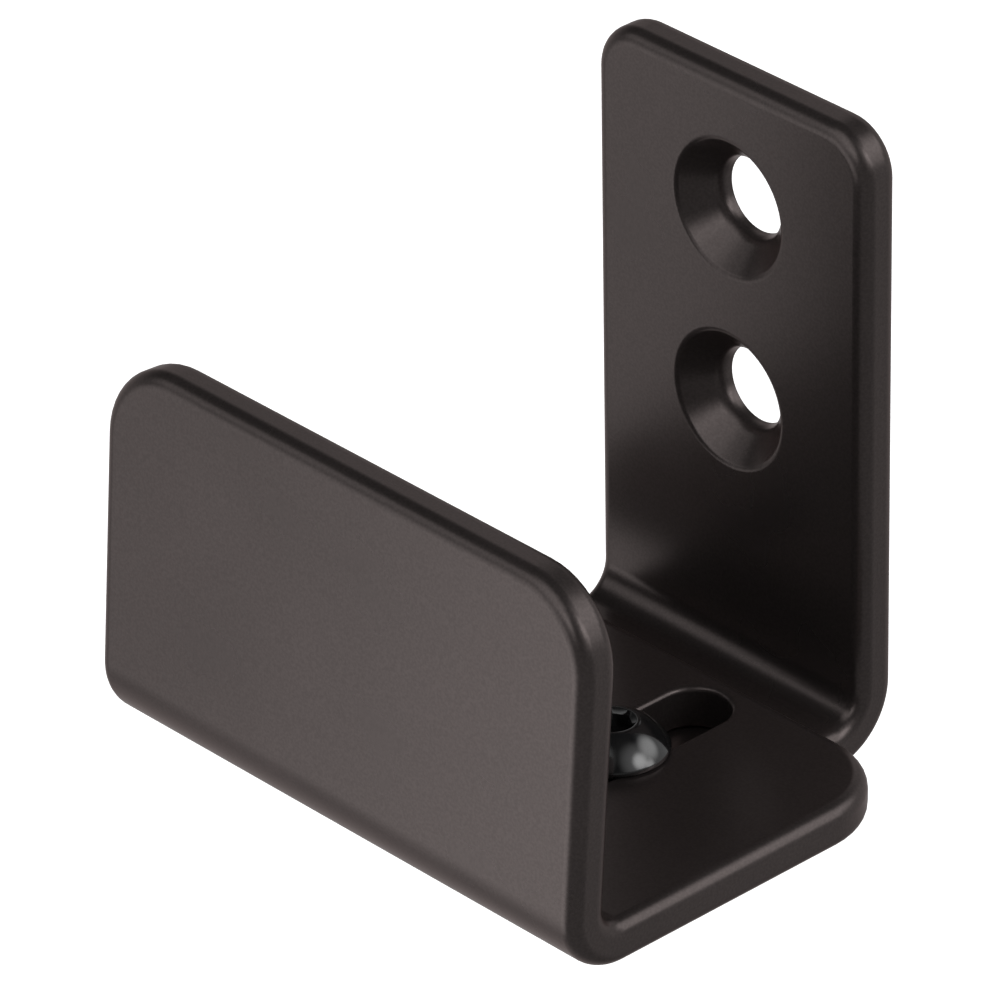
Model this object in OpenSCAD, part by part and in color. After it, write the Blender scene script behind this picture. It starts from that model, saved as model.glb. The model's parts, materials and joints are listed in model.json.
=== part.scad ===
// Adjustable U-shaped wall bracket: an upright with a foot, and a lipped bracket that slides
// on the foot in two slots and is clamped by two button-head screws.
// Millimetres. Origin on the wall face, midway between the two wall holes. +Y into the wall, +Z up.

/* [Plate] */
// Thickness of both bent plates
plate_t = 4; // [2.5:0.25:6]
// Gap left between plates that slide on each other
slide_gap = 0.05; // [0.02:0.01:0.2]

/* [Wall bracket] */
// Width of the upright and its foot
wall_w = 31.5; // [28:0.5:50]
// Height of the upright, from the underside of the foot
wall_h = 58.6; // [50:0.2:110]
// Corner radius at the top of the upright
wall_corner_r = 4.6; // [1:0.2:10]
// Inside radius of the bend between upright and foot
wall_bend_r = 2.7; // [1:0.1:6]
// Corner radius at the front of the foot
foot_corner_r = 3; // [1:0.5:6]
// Foot left in front of the clamp screws
foot_nose = 8; // [6:0.5:12]

/* [Wall holes] */
// Distance between the two wall holes
wall_hole_pitch = 18; // [14:0.2:30]
// Top edge of the upright to the centre of the upper hole
wall_hole_top = 12.1; // [9:0.1:20]
// Diameter of the wall holes
wall_hole_d = 7; // [4:0.1:8]
// Diameter of the countersinks at the front face
csk_d = 12.4; // [9:0.1:13]
// Angle of the countersinks
csk_angle = 90; // [75:5:120]

/* [Front bracket] */
// Width of the floor and lip
front_w = 57.1; // [38:0.1:100]
// Upright's front face to the foot of the lip, as fitted
grip_gap = 41.7; // [37:0.1:70]
// Length of the lip, from the sharp corner of its bend to its top edge
lip_h = 35.3; // [22:0.1:60]
// Lean of the lip towards the wall
lip_lean = 4.1; // [0:0.1:8]
// Corner radius at the top of the lip
lip_corner_r = 7.7; // [2:0.1:10]
// Inside radius of the bend between floor and lip
lip_bend_r = 1.9; // [1:0.1:6]
// Upright's front face to the rear edge of the floor, as fitted
floor_back = 7.5; // [7:0.1:9]
// Corner radius at the rear of the floor
floor_corner_r = 7.8; // [2:0.1:10]

/* [Clamp] */
// Distance between the two clamp screws
screw_pitch = 18; // [13:0.2:20]
// Upright's front face to the clamp screws
screw_y = 22; // [20:0.1:25]
// Nominal diameter of the clamp screws
screw_d = 5; // [3:0.5:6]
// Diameter of the screw head
head_d = 9.5; // [7:0.25:11]
// Height of the screw head
head_h = 2.75; // [2:0.25:3.5]
// Height of the straight rim under the dome of the head
head_rim = 0.4; // [0.2:0.1:0.8]
// Width across the flats of the hex socket
hex_af = 3; // [2:0.25:4]
// Depth of the hex socket
hex_depth = 1.6; // [1:0.1:2]
// Radial running clearance of a screw in its threaded hole
thread_clear = 0.05; // [0.02:0.01:0.09]
// Clearance each side of a screw in its slot
slot_clear = 0.6; // [0.2:0.1:0.8]
// Slot behind each screw, for widening the gap
slide_out = 9.2; // [4:0.1:12]
// Slot in front of each screw, for closing the gap
slide_in = 4.5; // [1:0.5:4.5]

/* [Hidden] */
$fn = 96;
eps = 1;
bend_steps = 24;
// heights, from the origin between the wall holes
foot_z = -(wall_h - wall_hole_top - wall_hole_pitch / 2);
wall_top = foot_z + wall_h;
floor_z = foot_z + plate_t + slide_gap;
head_z = floor_z + plate_t + slide_gap;
// places along Y, from the wall face
screw_pos_y = -(plate_t + screw_y);
foot_front_y = screw_pos_y - foot_nose;
lip_y = -(plate_t + grip_gap + plate_t);
floor_rear_y = -(plate_t + floor_back);
// bends
wall_bend_out = wall_bend_r + plate_t;
lip_bend_out = lip_bend_r + plate_t;
lip_setback = lip_bend_out * tan((90 + lip_lean) / 2);
lip_centre_y = lip_y + lip_setback;
slot_w = screw_d + 2 * slot_clear;
screw_len = 2 * (plate_t + slide_gap);
screw_foot_r = screw_d / 2 + thread_clear;
head_flat_r = head_d * 0.23;
dome_h = head_h - head_rim;
// the dome's arc passes through the rim and the edge of the flat top
dome_drop = ((head_d / 2) ^ 2 - head_flat_r ^ 2 - dome_h ^ 2) / (2 * dome_h);
dome_r = sqrt((head_d / 2) ^ 2 + dome_drop ^ 2);

function arc(r, from, to) =
    [for (i = [0:bend_steps]) let (a = from + (to - from) * i / bend_steps) r * [cos(a), sin(a)]];

// side view of a bent plate, centre of the bend at the origin: one leg along +X, one up at the left
module bent_plate(bend_r, run, rise, lean = 0) {
    out_r = bend_r + plate_t;
    up = rise * [sin(lean), cos(lean)];
    outward = [-cos(lean), sin(lean)];
    polygon(concat(
        arc(out_r, 180 - lean, 270),
        [[run, -out_r], [run, -bend_r]],
        arc(bend_r, 270, 180 - lean),
        [bend_r * outward + up, out_r * outward + up]
    ));
}

// rectangle from y0 to y1, with both corners at y1 rounded
module tab(w, y0, y1, r) {
    dir = y1 > y0 ? 1 : -1;
    translate([-w / 2, min(y0, y1 - dir * r)]) square([w, abs(y1 - y0) - r]);
    translate([-w / 2 + r, min(y1, y1 - dir * r)]) square([w - 2 * r, r]);
    for (s = [-1, 1]) translate([s * (w / 2 - r), y1 - dir * r]) circle(r);
}

// side view, drawn as (Y, Z) and extruded along X
module along_x(w) {
    rotate([90, 0, 90]) linear_extrude(w, center = true) children();
}

// both side views run past their ends, and the outlines in the other views cut them to length
module wall_side_view() {
    translate([-wall_bend_out, foot_z + wall_bend_out]) mirror([1, 0])
        bent_plate(wall_bend_r, -wall_bend_out - foot_front_y + eps, wall_h - wall_bend_out + eps);
}

module lip_side_view() {
    translate([lip_centre_y, floor_z + lip_bend_out])
        bent_plate(lip_bend_r, floor_rear_y - lip_centre_y + eps, lip_h - lip_setback + eps, lip_lean);
}

module wall_hole() {
    csk_depth = (csk_d - wall_hole_d) / 2 / tan(csk_angle / 2);
    translate([0, eps, 0]) rotate([90, 0, 0]) cylinder(h = plate_t + 2 * eps, d = wall_hole_d);
    translate([0, -plate_t - eps, 0]) rotate([-90, 0, 0])
        cylinder(h = csk_depth + eps, d1 = csk_d + 2 * eps * tan(csk_angle / 2), d2 = wall_hole_d);
}

module wall_bracket() {
    color([0.2, 0.18, 0.17]) difference() {
        intersection() {
            along_x(wall_w) wall_side_view();
            translate([0, eps, 0]) rotate([90, 0, 0])
                linear_extrude(3 * eps - foot_front_y)
                    tab(wall_w, foot_z - eps, wall_top, wall_corner_r);
            translate([0, 0, foot_z - eps])
                linear_extrude(wall_h + 2 * eps) tab(wall_w, eps, foot_front_y, foot_corner_r);
        }
        for (s = [-1, 1]) translate([0, 0, s * wall_hole_pitch / 2]) wall_hole();
        for (s = [-1, 1]) translate([s * screw_pitch / 2, screw_pos_y, foot_z - eps])
            cylinder(h = plate_t + 2 * eps, r = screw_foot_r);
    }
}

module slot() {
    front = screw_pos_y - slide_in;
    rear = screw_pos_y + slide_out;
    translate([0, 0, floor_z - eps]) linear_extrude(plate_t + 2 * eps) {
        translate([-slot_w / 2, front]) square([slot_w, rear - front]);
        for (y = [front, rear]) translate([0, y]) circle(d = slot_w);
    }
}

module front_bracket() {
    color([0.25, 0.22, 0.2]) difference() {
        intersection() {
            along_x(front_w) lip_side_view();
            // floor outline, from above
            translate([0, 0, floor_z - eps]) linear_extrude(lip_h + 2 * eps)
                tab(front_w, lip_y - eps, floor_rear_y, floor_corner_r);
            // lip outline, square to the leaning lip
            translate([0, lip_centre_y, floor_z + lip_bend_out]) rotate([90 - lip_lean, 0, 0])
                linear_extrude(4 * lip_h + 4 * grip_gap, center = true)
                    tab(front_w, -2 * lip_h - grip_gap, lip_h - lip_setback, lip_corner_r);
        }
        for (s = [-1, 1]) translate([s * screw_pitch / 2, 0, 0]) slot();
    }
}

// head as a turned profile: straight rim, domed top, flat crown
module head_profile() {
    square([head_d / 2, head_rim]);
    intersection() {
        translate([0, head_rim - dome_drop]) circle(dome_r);
        translate([0, head_rim]) square([head_d / 2, dome_h]);
    }
}

module clamp_screw(side) {
    translate([side * screw_pitch / 2, screw_pos_y, head_z]) {
        difference() {
            rotate_extrude() head_profile();
            // two flats of the socket face left and right
            translate([0, 0, head_h - hex_depth])
                rotate(30) cylinder(h = hex_depth + eps, d = hex_af / cos(30), $fn = 6);
        }
        translate([0, 0, -screw_len]) cylinder(h = screw_len + head_rim / 2, d = screw_d);
    }
}

module clamp_screw_right() {
    color([0.08, 0.08, 0.09]) clamp_screw(1);
}

module clamp_screw_left() {
    color([0.08, 0.08, 0.09]) clamp_screw(-1);
}

wall_bracket();
front_bracket();
clamp_screw_right();
clamp_screw_left();
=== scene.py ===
"""Looks of the adjustable wall hook bracket: two bent plates and two button-head screws."""

import json
import math

import bmesh
import bpy
from mathutils import Matrix, Vector


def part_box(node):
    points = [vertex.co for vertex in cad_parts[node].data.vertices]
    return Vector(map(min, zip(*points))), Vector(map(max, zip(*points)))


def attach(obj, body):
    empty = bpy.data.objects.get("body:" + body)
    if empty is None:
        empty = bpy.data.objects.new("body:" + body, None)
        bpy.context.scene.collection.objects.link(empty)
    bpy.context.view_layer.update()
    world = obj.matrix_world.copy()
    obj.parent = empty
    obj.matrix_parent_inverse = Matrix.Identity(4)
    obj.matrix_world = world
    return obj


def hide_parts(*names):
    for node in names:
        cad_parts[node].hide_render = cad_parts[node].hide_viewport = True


MM = 0.001
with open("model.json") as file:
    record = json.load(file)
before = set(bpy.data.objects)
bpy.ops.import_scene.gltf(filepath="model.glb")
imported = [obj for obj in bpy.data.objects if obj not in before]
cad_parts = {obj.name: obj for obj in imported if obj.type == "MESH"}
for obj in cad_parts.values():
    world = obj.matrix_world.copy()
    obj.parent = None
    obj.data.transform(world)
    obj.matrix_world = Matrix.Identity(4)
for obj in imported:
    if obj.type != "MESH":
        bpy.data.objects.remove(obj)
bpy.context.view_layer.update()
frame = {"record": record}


def middle_of(box):
    """The (x, y) middle of a node's box."""
    low, high = box
    return (low[0] + high[0]) / 2, (low[1] + high[1]) / 2


# ---------------------------------------------------------------- sizes
# The boxes of the CAD nodes give the overall sizes, and the wall mount gives the wall holes. The
# rest are the plates' and the screws' own.
WALL_LO, WALL_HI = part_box("wall_bracket")
FRONT_LO, FRONT_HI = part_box("front_bracket")
SCREW_BOXES = {node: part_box(node) for node in ("clamp_screw_right", "clamp_screw_left")}
SCREW_X, SCREW_Y = middle_of(SCREW_BOXES["clamp_screw_right"])
WALL_MOUNT = next(mount for mount in frame["record"]["mounts"] if mount["name"] == "wall_screws")
HOLE_R = WALL_MOUNT["dims"]["hole_r_mm"] * MM
HOLE_PITCH = WALL_MOUNT["dims"]["spacing_y_mm"] * MM

PLATE_T = 4.0 * MM
EDGE_R = 1.4 * MM  # rounding of the plates' edges under their coat

WALL_BEND_R = 2.7 * MM
WALL_CORNER_R = 4.6 * MM
FOOT_CORNER_R = 3.0 * MM
CSK_R = 6.2 * MM
CSK_RIM_R = 0.8 * MM  # rounding of the countersink's rim
CONE_BLEND_R = 1.8 * MM  # rounding from its cone into the straight bore
HOLE_EDGE_R = 0.15 * MM  # rounding of the bore's edge at the wall
TAPPED_R = 2.55 * MM
TAPPED_TOP_RIM_R = 0.3 * MM
TAPPED_LOW_RIM_R = 0.5 * MM

LIP_BEND_R = 1.9 * MM
LIP_LEAN = math.radians(4.1)
LIP_CORNER_R = 7.7 * MM
FLOOR_CORNER_R = 7.8 * MM
SLOT_R = 3.1 * MM
SLOT_RIM_R = 0.5 * MM
SLIDE_OUT = 9.2 * MM
SLIDE_IN = 4.5 * MM

HEAD_R = 4.75 * MM
HEAD_H = 2.75 * MM
HEAD_RIM_H = 0.4 * MM  # height of the dome's foot above the seat
HEAD_CHAMFER = 0.15 * MM
CROWN_R = 0.46 * HEAD_R  # flat on top of the dome
HEX_AF = 3.0 * MM
HEX_DEPTH = 1.6 * MM
DRILL_SHARE = 0.97  # the drilled hole under the socket, as a share of the socket's width
DRILL_TIP_R = 0.25 * MM
DRILL_TIP_H = 0.35 * MM
MOUTH_DEPTH = 0.35 * MM  # of the chamfer at the socket's mouth
MOUTH_R = HEX_AF / math.sqrt(3) + 0.15 * MM
MOUTH_LIP_W = 0.06 * MM  # small bevel where the chamfer meets the crown
MOUTH_LIP_H = 0.02 * MM

SCREW_R = 2.5 * MM
NECK_R = SCREW_R - 0.02 * MM
NECK_H = 0.8 * MM
THREAD_PITCH = 0.8 * MM
THREAD_FADE = 0.8 * MM  # run over which the thread reaches its full depth
GROOVE_DEPTH = 0.4 * MM
GROOVE_BASE = 1.25  # these two set how much of a pitch is crest, flank and root
GROOVE_SLOPE = 1.5
TIP_TAPER_H = 0.45 * MM
TIP_TAPER_SLOPE = 0.8

BEND_STEPS = 20
FILLET_STEPS = 8
CORNER_STEPS = 12
SLOT_STEPS = 24
HOLE_STEPS = 32
RING_STEPS = 96
DOME_STEPS = 20
THREAD_ROWS = 14  # rings of vertices in one turn of the thread
SCREW_CREASE = math.radians(32)
SLACK = 1e-6  # two values of s closer than this are the same
FAR = 1.0  # longer than any plate, for the straight ends of an edge profile


# ---------------------------------------------------------------- edge profiles
def fillet_path(points, radii):
    """Rounds the inner corners of a polyline. Returns (point, normal) samples from the first
    rounded corner to the last. Normals point to the left of the direction of travel."""
    samples = []
    for before, corner, after, radius in zip(points, points[1:], points[2:], radii):
        back = (Vector(before) - Vector(corner)).normalized()
        on = (Vector(after) - Vector(corner)).normalized()
        half = back.angle(on) / 2
        start = Vector(corner) + back * radius / math.tan(half)
        centre = Vector(corner) + (back + on).normalized() * radius / math.sin(half)
        turn = math.pi - 2 * half
        turn_sign = 1 if (-back).cross(on) > 0 else -1
        for i in range(FILLET_STEPS + 1):
            spoke = start - centre
            spoke.rotate(Matrix.Rotation(turn_sign * turn * i / FILLET_STEPS, 2))
            samples.append((centre + spoke, -turn_sign * spoke.normalized()))
    return samples


def edge_profile(inner_r, outer_r):
    """A plain edge. Its points are (depth into the material, distance from the inner face)."""
    corners = [(FAR, 0), (0, 0), (0, PLATE_T), (FAR, PLATE_T)]
    return fillet_path(corners, [inner_r, outer_r])


def countersink_profile():
    """A countersunk hole's edge, in the same terms, with its cone at the inner face."""
    cone = CSK_R - HOLE_R  # 90 degrees, so it is as deep as it is wide
    corners = [(FAR, 0), (cone, 0), (0, cone), (0, PLATE_T), (FAR, PLATE_T)]
    return fillet_path(corners, [CSK_RIM_R, CONE_BLEND_R, HOLE_EDGE_R])


# ---------------------------------------------------------------- outlines, as (point, outward) pairs
def arc(centre, radius, start, end, steps, sign=1):
    """sign is -1 round a hole, where away from the material is towards the centre."""
    pairs = []
    for i in range(steps + 1):
        angle = start + (end - start) * i / steps
        way = Vector((math.cos(angle), math.sin(angle)))
        pairs.append((Vector(centre) + way * radius, way * sign))
    return pairs


def slot_outline(x, s_low, s_high, radius, steps=SLOT_STEPS):
    """A round-ended slot along s. With both ends equal it is a round hole."""
    ring = arc((x, s_high), radius, 0, math.pi, steps, -1)
    ring += arc((x, s_low), radius, math.pi, 2 * math.pi, steps, -1)
    if s_low == s_high:
        ring = ring[:steps] + ring[steps + 1 : -1]
    return ring


# ---------------------------------------------------------------- meshes
def join_rings(bm, rings):
    """Joins each ring of vertices to the next with quads."""
    for ring, following in zip(rings, rings[1:]):
        for i in range(len(ring)):
            j = (i + 1) % len(ring)
            bm.faces.new((ring[i], ring[j], following[j], following[i]))


def mesh_object(name, bm, vertex_normals=None):
    """A smooth-shaded object from a bmesh, which is freed."""
    mesh = bpy.data.meshes.new(name)
    bm.to_mesh(mesh)
    bm.free()
    mesh.shade_smooth()
    if vertex_normals:
        mesh.normals_split_custom_set_from_vertices(vertex_normals)
    obj = bpy.data.objects.new(name, mesh)
    bpy.context.scene.collection.objects.link(obj)
    return obj


class Sheet:
    """A plate with one bend. x runs across it, s along it from the end of the flat leg, and n through
    it from the face inside the bend. start is the (Y, Z) of the flat leg's inner face at s = 0, and
    way is +1 if the flat leg runs towards +Y. rise is the straight length past the bend."""

    def __init__(self, start, way, flat, bend_r, angle, rise):
        self.start = Vector(start)
        self.way = way
        self.flat = flat
        self.bend_r = bend_r
        self.angle = angle
        self.bend = angle * (bend_r + PLATE_T / 2)
        self.total = flat + self.bend + rise
        self.bend_s = [flat + self.bend * i / BEND_STEPS for i in range(BEND_STEPS + 1)]

    def turn_at(self, s):
        """The turn of the plate at s."""
        return min(max((s - self.flat) / self.bend, 0), 1) * self.angle

    def point(self, x, s, n):
        """Where a point of the flat plate lies on the bent one."""
        turn = self.turn_at(s)
        past = max(s - self.flat - self.bend, 0)
        r = self.bend_r + n
        along = min(s, self.flat) + math.sin(turn) * r + math.cos(turn) * past
        up = self.bend_r - math.cos(turn) * r + math.sin(turn) * past
        return Vector((x, self.start.x + self.way * along, self.start.y + up))

    def normal(self, s, flat_normal):
        """Where a normal of the flat plate points on the bent one."""
        turn = self.turn_at(s)
        x, along_s, through = flat_normal
        along = along_s * math.cos(turn) + through * math.sin(turn)
        up = along_s * math.sin(turn) - through * math.cos(turn)
        return Vector((x, self.way * along, up)).normalized()

    def outline(self, width, end_r, top_r):
        """The plate's outline, anticlockwise, with a point on both sides at each step of the bend."""
        w = width / 2
        top = self.total
        stops = [s for s in self.bend_s if end_r < s < top - top_r]
        right = [(Vector((w, s)), Vector((1, 0))) for s in stops]
        left = [(Vector((-w, s)), Vector((-1, 0))) for s in reversed(stops)]
        quarter = math.pi / 2
        return (
            arc((w - end_r, end_r), end_r, -quarter, 0, CORNER_STEPS)
            + right
            + arc((w - top_r, top - top_r), top_r, 0, quarter, CORNER_STEPS)
            + arc((-w + top_r, top - top_r), top_r, quarter, 2 * quarter, CORNER_STEPS)
            + left
            + arc((-w + end_r, end_r), end_r, 2 * quarter, 3 * quarter, CORNER_STEPS)
        )

    def build(self, name, loops):
        """loops are (outline, profile) pairs, the plate's own outline first. The mesh is made flat,
        in (x, s, n), and then laid along the bend, with exact normals."""
        bm = bmesh.new()
        flat_normals = []
        inner_rims = []
        outer_rims = []
        for outline, profile in loops:
            rings = []
            for depth, profile_normal in profile:
                ring = []
                for place, outward in outline:
                    spot = place - outward * depth.x
                    ring.append(bm.verts.new((spot.x, spot.y, depth.y)))
                    side = outward * -profile_normal.x
                    flat_normals.append((side.x, side.y, profile_normal.y))
                rings.append(ring)
            join_rings(bm, rings)
            inner_rims.append(rings[0])
            outer_rims.append(rings[-1])
        rim_s = [place.y for place, _ in loops[0][0]]
        self.fill(bm, inner_rims, rim_s)
        self.fill(bm, outer_rims, rim_s)
        bm.verts.index_update()
        points = [self.point(*vert.co) for vert in bm.verts]
        normals = [self.normal(vert.co.y, flat) for vert, flat in zip(bm.verts, flat_normals)]
        for vert, place in zip(bm.verts, points):
            vert.co = place
        bm.normal_update()
        bmesh.ops.recalc_face_normals(bm, faces=bm.faces[:])
        return mesh_object(name, bm, normals)

    def fill(self, bm, rims, rim_s):
        """Fills one side: quads over the bend, triangles over the flats. rim_s is the s of each
        vertex of the first rim, which is the plate's own."""
        crossings = []
        for s in self.bend_s:
            pair = [vert for vert, at in zip(rims[0], rim_s) if abs(at - s) < SLACK]
            crossings.append(sorted(pair, key=lambda vert: vert.co.x))
        for (left, right), (next_left, next_right) in zip(crossings, crossings[1:]):
            bm.faces.new((left, right, next_right, next_left))
        self.fill_flat(bm, rims, crossings[0], True)
        self.fill_flat(bm, rims, crossings[-1], False)

    def fill_flat(self, bm, rims, crossing, low):
        """Fills the flat below the bend, or above it if low is False. crossing is where it starts."""
        edges = [bm.edges.get(crossing)]
        for rim in rims:
            for vert, following in zip(rim, rim[1:] + rim[:1]):
                ends = (vert.co.y, following.co.y)
                if low:
                    inside = max(ends) < self.bend_s[0] + SLACK
                else:
                    inside = min(ends) > self.bend_s[-1] - SLACK
                if inside:
                    edges.append(bm.edges.get((vert, following)))
        bmesh.ops.triangle_fill(bm, use_beauty=True, use_dissolve=False, edges=edges)


# ---------------------------------------------------------------- materials
class Nodes:
    """Short ways to add and link nodes in one material."""

    def __init__(self, name):
        self.material = bpy.data.materials.new(name)
        self.material.use_nodes = True
        self.tree = self.material.node_tree
        self.shader = self.tree.nodes["Principled BSDF"]
        self.position = self.add("ShaderNodeTexCoord").outputs["Object"]

    def add(self, kind, **sockets):
        """A node with values on its sockets."""
        node = self.tree.nodes.new(kind)
        for name, value in sockets.items():
            node.inputs[name.replace("_", " ")].default_value = value
        return node

    def link(self, source, target):
        self.tree.links.new(source, target)

    def drive(self, source, socket):
        """Links a source to a socket of the shader."""
        self.link(source, self.shader.inputs[socket])

    def fix(self, socket, value):
        """Sets a socket of the shader to one value."""
        self.shader.inputs[socket].default_value = value

    def noise(self, scale, detail):
        node = self.add("ShaderNodeTexNoise", Scale=scale, Detail=detail, Roughness=0.5)
        self.link(self.position, node.inputs["Vector"])
        return node.outputs["Fac"]

    def ramp(self, source, low, high):
        """Two colours, each with its place: (place, colour)."""
        node = self.add("ShaderNodeValToRGB")
        for element, (place, colour) in zip(node.color_ramp.elements, (low, high)):
            element.position = place
            element.color = (*colour, 1)
        self.link(source, node.inputs["Fac"])
        return node.outputs["Color"]

    def span(self, source, low, high):
        """Spreads the middle of a noise over low to high."""
        node = self.add("ShaderNodeMapRange", From_Min=0.3, From_Max=0.7, To_Min=low, To_Max=high)
        self.link(source, node.inputs["Value"])
        return node.outputs["Result"]

    def multiply(self, first, second):
        node = self.tree.nodes.new("ShaderNodeMix")
        node.data_type = "RGBA"
        node.blend_type = "MULTIPLY"
        node.inputs["Factor"].default_value = 1.0
        self.link(first, node.inputs["A"])
        self.link(second, node.inputs["B"])
        return node.outputs["Result"]

    def bump(self, height, distance, strength, normal=None):
        node = self.add("ShaderNodeBump", Strength=strength, Distance=distance)
        self.link(height, node.inputs["Height"])
        if normal:
            self.link(normal, node.inputs["Normal"])
        return node.outputs["Normal"]


def grey(level):
    return (level, level, level)


def powder_coat():
    """Satin dark bronze powder coat: a fine orange peel, and a slow drift in tone and gloss."""
    nodes = Nodes("powder_coat_dark_bronze")
    drift = nodes.noise(scale=60, detail=3.0)
    grain = nodes.noise(scale=4200, detail=2.0)
    tone = nodes.ramp(drift, low=(0.3, (0.078, 0.066, 0.064)), high=(0.7, (0.088, 0.074, 0.072)))
    speck = nodes.ramp(grain, low=(0.35, grey(0.9)), high=(0.65, grey(1.1)))
    nodes.drive(nodes.multiply(tone, speck), "Base Color")
    nodes.fix("Metallic", 0.7)
    nodes.fix("Specular Tint", (1, 0.86, 0.84, 1))
    nodes.drive(nodes.span(drift, low=0.26, high=0.31), "Roughness")
    peel_height = nodes.noise(scale=1300, detail=2.0)
    peel = nodes.bump(peel_height, distance=0.006 * MM, strength=0.6)
    nodes.drive(nodes.bump(grain, distance=0.002 * MM, strength=0.5, normal=peel), "Normal")
    return nodes.material


def gloss_black():
    """Black oxide under oil: deep gloss, with faint smears in its tone and roughness."""
    nodes = Nodes("screw_gloss_black")
    smear = nodes.noise(scale=500, detail=3.0)
    tone = nodes.ramp(smear, low=(0.3, (0.005, 0.005, 0.006)), high=(0.7, grey(0.012)))
    nodes.drive(tone, "Base Color")
    nodes.drive(nodes.span(smear, low=0.1, high=0.22), "Roughness")
    marks = nodes.noise(scale=900, detail=2.0)
    nodes.drive(nodes.bump(marks, distance=0.01 * MM, strength=0.5), "Normal")
    nodes.fix("Specular IOR Level", 0.8)
    nodes.fix("Coat Weight", 0.6)
    nodes.fix("Coat Roughness", 0.06)
    return nodes.material


# ---------------------------------------------------------------- the plates
def make_wall_bracket():
    """The upright with its countersunk holes, the bend, and the foot with its tapped holes."""
    bend_out = WALL_BEND_R + PLATE_T
    width = WALL_HI[0] - WALL_LO[0]
    length = WALL_HI[1] - WALL_LO[1]
    height = WALL_HI[2] - WALL_LO[2]
    sheet = Sheet(
        start=(WALL_LO[1], WALL_LO[2] + PLATE_T),
        way=1,
        flat=length - bend_out,
        bend_r=WALL_BEND_R,
        angle=math.pi / 2,
        rise=height - bend_out,
    )
    outline = sheet.outline(width, FOOT_CORNER_R, WALL_CORNER_R)
    loops = [(outline, edge_profile(EDGE_R, EDGE_R))]
    for side in (-1, 1):
        s = sheet.total - WALL_HI[2] + side * HOLE_PITCH / 2  # Z = 0 is midway between the holes
        loops.append((slot_outline(0, s, s, HOLE_R, HOLE_STEPS), countersink_profile()))
    screw_s = SCREW_Y - WALL_LO[1]
    for side in (-1, 1):
        hole = slot_outline(side * SCREW_X, screw_s, screw_s, TAPPED_R)
        loops.append((hole, edge_profile(TAPPED_TOP_RIM_R, TAPPED_LOW_RIM_R)))
    return sheet.build("wall_bracket_coated", loops)


def make_front_bracket():
    """The floor with its two slots, the bend, and the leaning lip."""
    bend_out = LIP_BEND_R + PLATE_T
    width = FRONT_HI[0] - FRONT_LO[0]
    lean_run = math.sin(LIP_LEAN) * bend_out
    # the lip's outer top edge is its highest point: it fixes the rise
    top = FRONT_HI[2] - FRONT_LO[2] - bend_out - lean_run
    sheet = Sheet(
        start=(FRONT_HI[1], FRONT_LO[2] + PLATE_T),
        way=-1,
        flat=FRONT_HI[1] - FRONT_LO[1] - bend_out,
        bend_r=LIP_BEND_R,
        angle=math.pi / 2 + LIP_LEAN,
        rise=top / math.cos(LIP_LEAN),
    )
    outline = sheet.outline(width, FLOOR_CORNER_R, LIP_CORNER_R)
    loops = [(outline, edge_profile(EDGE_R, EDGE_R))]
    screw_s = FRONT_HI[1] - SCREW_Y
    for side in (-1, 1):
        slot = slot_outline(side * SCREW_X, screw_s - SLIDE_OUT, screw_s + SLIDE_IN, SLOT_R)
        loops.append((slot, edge_profile(SLOT_RIM_R, SLOT_RIM_R)))
    return sheet.build("front_bracket_coated", loops)


# ---------------------------------------------------------------- the screws, as rings (reaches, z)
RING_ANGLES = [2 * math.pi * i / RING_STEPS for i in range(RING_STEPS)]


def round_ring(radius, z):
    return [radius] * RING_STEPS, z


def hex_ring(z):
    """A ring round the socket's hexagon, with two flats facing left and right."""
    sector = math.radians(60)
    reaches = []
    for angle in RING_ANGLES:
        off_flat = (angle + sector / 2) % sector - sector / 2
        reaches.append(HEX_AF / 2 / math.cos(off_flat))
    return reaches, z


def socket_rings(top):
    """The hex socket, from its drilled bottom up to its chamfered mouth."""
    floor_z = top - HEX_DEPTH
    return [
        round_ring(DRILL_TIP_R, floor_z - DRILL_TIP_H),
        round_ring(HEX_AF / 2 * DRILL_SHARE, floor_z),
        hex_ring(floor_z),
        hex_ring(top - MOUTH_DEPTH),
        round_ring(MOUTH_R, top - MOUTH_LIP_H),
        round_ring(MOUTH_R + MOUTH_LIP_W, top),
    ]


def head_rings(seat):
    """The edge of the crown and the dome, down to the chamfered rim on the seat."""
    dome_h = HEAD_H - HEAD_RIM_H
    drop = (HEAD_R**2 - CROWN_R**2 - dome_h**2) / (2 * dome_h)
    dome_r = math.hypot(HEAD_R, drop)
    first = math.atan2(CROWN_R, drop + dome_h)
    last = math.atan2(HEAD_R, drop)
    rings = []
    for i in range(DOME_STEPS + 1):
        angle = first + (last - first) * i / DOME_STEPS
        z = seat + HEAD_RIM_H - drop + dome_r * math.cos(angle)
        rings.append(round_ring(dome_r * math.sin(angle), z))
    rings.append(round_ring(HEAD_R, seat + HEAD_CHAMFER))
    rings.append(round_ring(HEAD_R - HEAD_CHAMFER, seat))
    return rings


def thread_ring(z, fade, taper):
    """A ring of the thread. fade is its share of the full depth, and taper draws it in at the tip."""
    reaches = []
    for angle in RING_ANGLES:
        phase = (z / THREAD_PITCH - angle / (2 * math.pi)) % 1
        groove = min(max(GROOVE_BASE - abs(phase * 2 - 1) * GROOVE_SLOPE, 0), 1)
        reaches.append(NECK_R - fade * groove * GROOVE_DEPTH - taper * TIP_TAPER_SLOPE)
    return reaches, z


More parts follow.
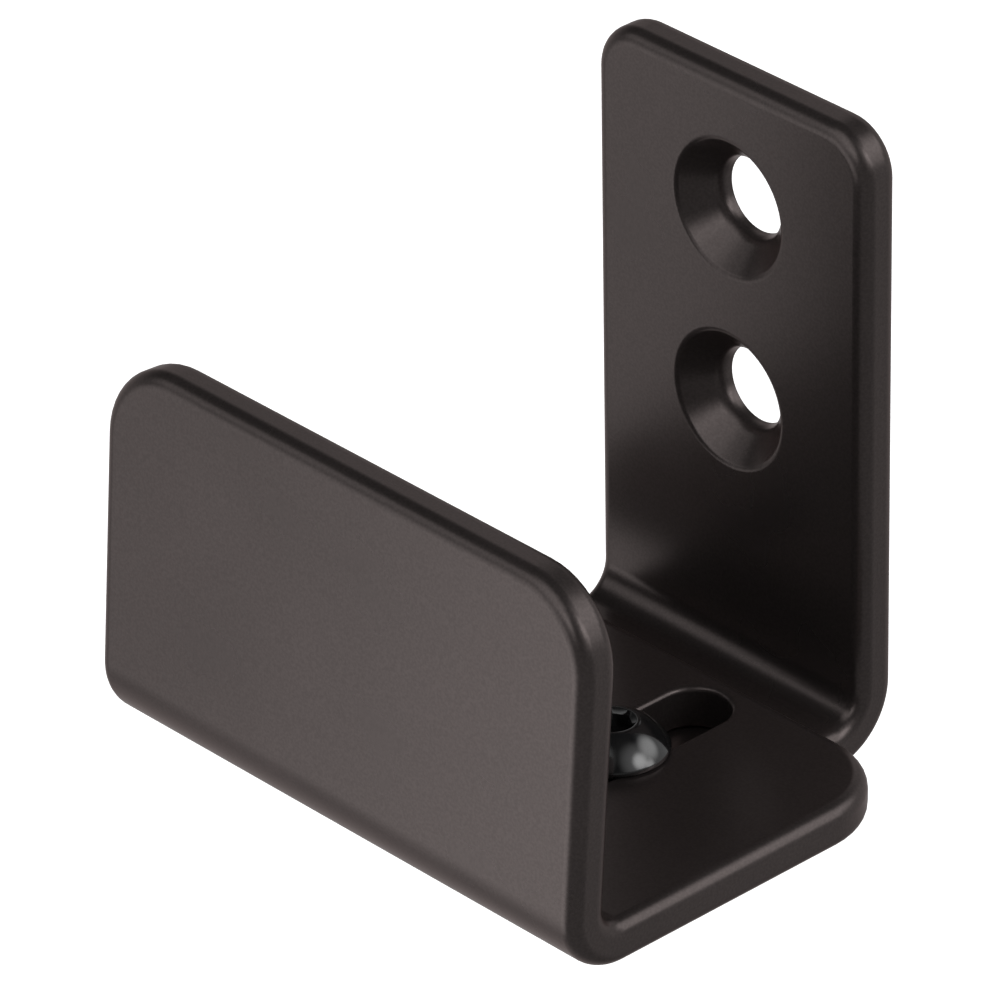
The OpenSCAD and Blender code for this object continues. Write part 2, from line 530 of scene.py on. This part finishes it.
def shank_rings(seat, tip):
    """A plain neck, then a thread that fades in and ends in a tapered tip."""
    thread_top = seat - NECK_H
    length = thread_top - tip
    rows = int(length / THREAD_PITCH * THREAD_ROWS)
    rings = [round_ring(NECK_R, seat)]
    for row in range(rows + 1):
        z = thread_top - length * row / rows
        fade = min((thread_top - z) / THREAD_FADE, 1)
        taper = max(0, TIP_TAPER_H - (z - tip))
        rings.append(thread_ring(z, fade, taper))
    return rings


def make_screw(name, node):
    """A button-head screw in its node's box, from the socket's bottom round to the tip."""
    low, high = SCREW_BOXES[node]
    axis = Vector((*middle_of(SCREW_BOXES[node]), 0))
    seat = high[2] - HEAD_H
    bm = bmesh.new()
    rings = []
    for reaches, z in socket_rings(high[2]) + head_rings(seat) + shank_rings(seat, low[2]):
        ring = []
        for angle, reach in zip(RING_ANGLES, reaches):
            spot = Vector((math.cos(angle) * reach, math.sin(angle) * reach, z))
            ring.append(bm.verts.new(axis + spot))
        rings.append(ring)
    join_rings(bm, rings)
    bm.faces.new(rings[0])
    bm.faces.new(rings[-1])
    bmesh.ops.recalc_face_normals(bm, faces=bm.faces[:])
    screw = mesh_object(name, bm)
    screw.data.set_sharp_from_angle(angle=SCREW_CREASE)
    return screw


# ---------------------------------------------------------------- pieces on their bodies
def finish_piece(piece, node, body, material):
    piece.data.materials.append(material)
    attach(piece, body)
    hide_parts(node)


def make_plates():
    coat = powder_coat()
    finish_piece(make_wall_bracket(), "wall_bracket", "wall_side", coat)
    finish_piece(make_front_bracket(), "front_bracket", "front_slider", coat)


def make_screws():
    black = gloss_black()
    right = make_screw("screw_right", "clamp_screw_right")
    finish_piece(right, "clamp_screw_right", "right_screw", black)
    left = make_screw("screw_left", "clamp_screw_left")
    finish_piece(left, "clamp_screw_left", "left_screw", black)


# ---------------------------------------------------------------- floor, light and camera
# Soft light comes from all round, as broad glows: azimuth and height above the horizon of each
# one's middle, its half width (all in degrees) and its strength. Azimuth 0 is the front.
GLOWS = {
    "front_low": (-25, -14, 35, 1.35),
    "front_high": (0, 40, 40, 1.4),
    "front_left": (-48, 26, 22, 0.8),
    "front_core": (22, 28, 15, 1.2),
    "right_high": (100, 38, 36, 0.7),
    "right_core": (107, 34, 17, 3.4),
    "right_low": (122, 18, 12, 2.5),
    "back_right": (145, 35, 22, 1.9),
    "back": (160, 0, 65, 0.5),
    "back_left": (-140, 25, 25, 0.45),
    "left_low": (-102, -37, 67, 0.55),
    "under": (60, -45, 80, 0.25),
}
AMBIENT = 0.05  # strength where no glow reaches
WHITE = (1, 1, 1, 1)

FLOOR_DROP = 0.6  # the bracket hangs on a wall, so the floor is well below it
FLOOR_HALF_WIDTH = 30.0
FLOOR_GLOW = 0.9

PANEL_PLACE = Vector((-60 * MM, -190 * MM, -121 * MM))
PANEL_AIM = Vector((10 * MM, FRONT_LO[1], -18 * MM))
PANEL_SIZE = 0.12
PANEL_STRENGTH = 0.7

# The camera stands at this bearing and height, with a long lens, turned a little about its axis.
AZIMUTH = math.radians(47.24)
ELEVATION = math.radians(30.45)
ROLL = math.radians(-0.917)
DISTANCE = 775.87 * MM
LENS = 336.5
SENSOR_WIDTH = 36
AIM = Vector((-10.73 * MM, -20.0 * MM, WALL_LO[2] + 20.96 * MM))


def pale_floor():
    """Near-white with a slow drift, and a glow of its own."""
    nodes = Nodes("floor_pale")
    drift = nodes.noise(scale=3, detail=2.0)
    nodes.drive(nodes.ramp(drift, low=(0.3, grey(0.84)), high=(0.7, grey(0.88))), "Base Color")
    nodes.fix("Roughness", 0.9)
    nodes.fix("Emission Color", WHITE)
    nodes.fix("Emission Strength", FLOOR_GLOW)
    return nodes.material


def make_floor():
    """A pale floor, lit from beneath like a light table. It shows to the camera only, so that the
    light from below reaches the bracket."""
    bm = bmesh.new()
    bmesh.ops.create_grid(bm, x_segments=1, y_segments=1, size=FLOOR_HALF_WIDTH)
    floor = mesh_object("floor", bm)
    floor.location = (0, 0, WALL_LO[2] - FLOOR_DROP)
    floor.visible_diffuse = False
    floor.visible_glossy = False
    floor.visible_shadow = False
    floor.data.materials.append(pale_floor())


def make_front_panel():
    """A small soft box low in front of the lip, which brightens the lip towards its right."""
    data = bpy.data.lights.new("front_panel", "AREA")
    data.shape = "SQUARE"
    data.size = PANEL_SIZE
    data.energy = PANEL_STRENGTH * math.pi * data.size**2
    panel = bpy.data.objects.new("front_panel", data)
    bpy.context.scene.collection.objects.link(panel)
    panel.location = PANEL_PLACE
    panel.rotation_euler = (PANEL_AIM - PANEL_PLACE).to_track_quat("-Z", "Y").to_euler()
    panel.visible_camera = False


def bearing(azimuth, elevation):
    """The direction from the bracket to an azimuth and a height above the horizon."""
    level = math.cos(elevation)
    return Vector((math.sin(azimuth) * level, -math.cos(azimuth) * level, math.sin(elevation)))


def add_glow(tree, way, below, azimuth, elevation, half_width, strength):
    """Adds one glow to below, the strength so far. way is the direction that is looked in."""
    dot = tree.nodes.new("ShaderNodeVectorMath")
    dot.operation = "DOT_PRODUCT"
    dot.inputs[1].default_value = bearing(math.radians(azimuth), math.radians(elevation))
    tree.links.new(way, dot.inputs[0])
    glow = tree.nodes.new("ShaderNodeMapRange")
    glow.interpolation_type = "SMOOTHSTEP"
    glow.inputs["From Min"].default_value = math.cos(math.radians(half_width))
    glow.inputs["To Max"].default_value = strength
    tree.links.new(dot.outputs["Value"], glow.inputs["Value"])
    total = tree.nodes.new("ShaderNodeMath")
    total.inputs[0].default_value = AMBIENT
    if below:
        tree.links.new(below, total.inputs[0])
    tree.links.new(glow.outputs["Result"], total.inputs[1])
    return total.outputs[0]


def make_light():
    """The glows light the bracket, and the camera sees plain white behind it."""
    world = bpy.data.worlds.new("studio")
    bpy.context.scene.world = world
    world.use_nodes = True
    tree = world.node_tree
    tree.nodes.clear()
    way = tree.nodes.new("ShaderNodeTexCoord").outputs["Generated"]
    total = None
    for glow in GLOWS.values():
        total = add_glow(tree, way, total, *glow)
    light = tree.nodes.new("ShaderNodeBackground")
    tree.links.new(total, light.inputs["Strength"])
    plain = tree.nodes.new("ShaderNodeBackground")
    plain.inputs["Color"].default_value = WHITE
    seen = tree.nodes.new("ShaderNodeLightPath").outputs["Is Camera Ray"]
    mix = tree.nodes.new("ShaderNodeMixShader")
    tree.links.new(seen, mix.inputs[0])
    tree.links.new(light.outputs[0], mix.inputs[1])
    tree.links.new(plain.outputs[0], mix.inputs[2])
    output = tree.nodes.new("ShaderNodeOutputWorld")
    tree.links.new(mix.outputs[0], output.inputs[0])


def make_camera():
    data = bpy.data.cameras.new("camera")
    data.sensor_width = SENSOR_WIDTH
    data.lens = LENS
    data.clip_start = 0.05
    data.clip_end = 20
    camera = bpy.data.objects.new("camera", data)
    bpy.context.scene.collection.objects.link(camera)
    back = bearing(AZIMUTH, ELEVATION)
    level = Vector((math.cos(AZIMUTH), math.sin(AZIMUTH), 0))
    upright = back.cross(level)
    right = level * math.cos(ROLL) + upright * math.sin(ROLL)
    up = upright * math.cos(ROLL) - level * math.sin(ROLL)
    turn = Matrix((right, up, back)).transposed().to_4x4()
    camera.matrix_world = Matrix.Translation(AIM + back * DISTANCE) @ turn
    bpy.context.scene.camera = camera


make_plates()
make_screws()
make_floor()
make_light()
make_front_panel()
make_camera()
bpy.context.scene.view_settings.view_transform = "Standard"
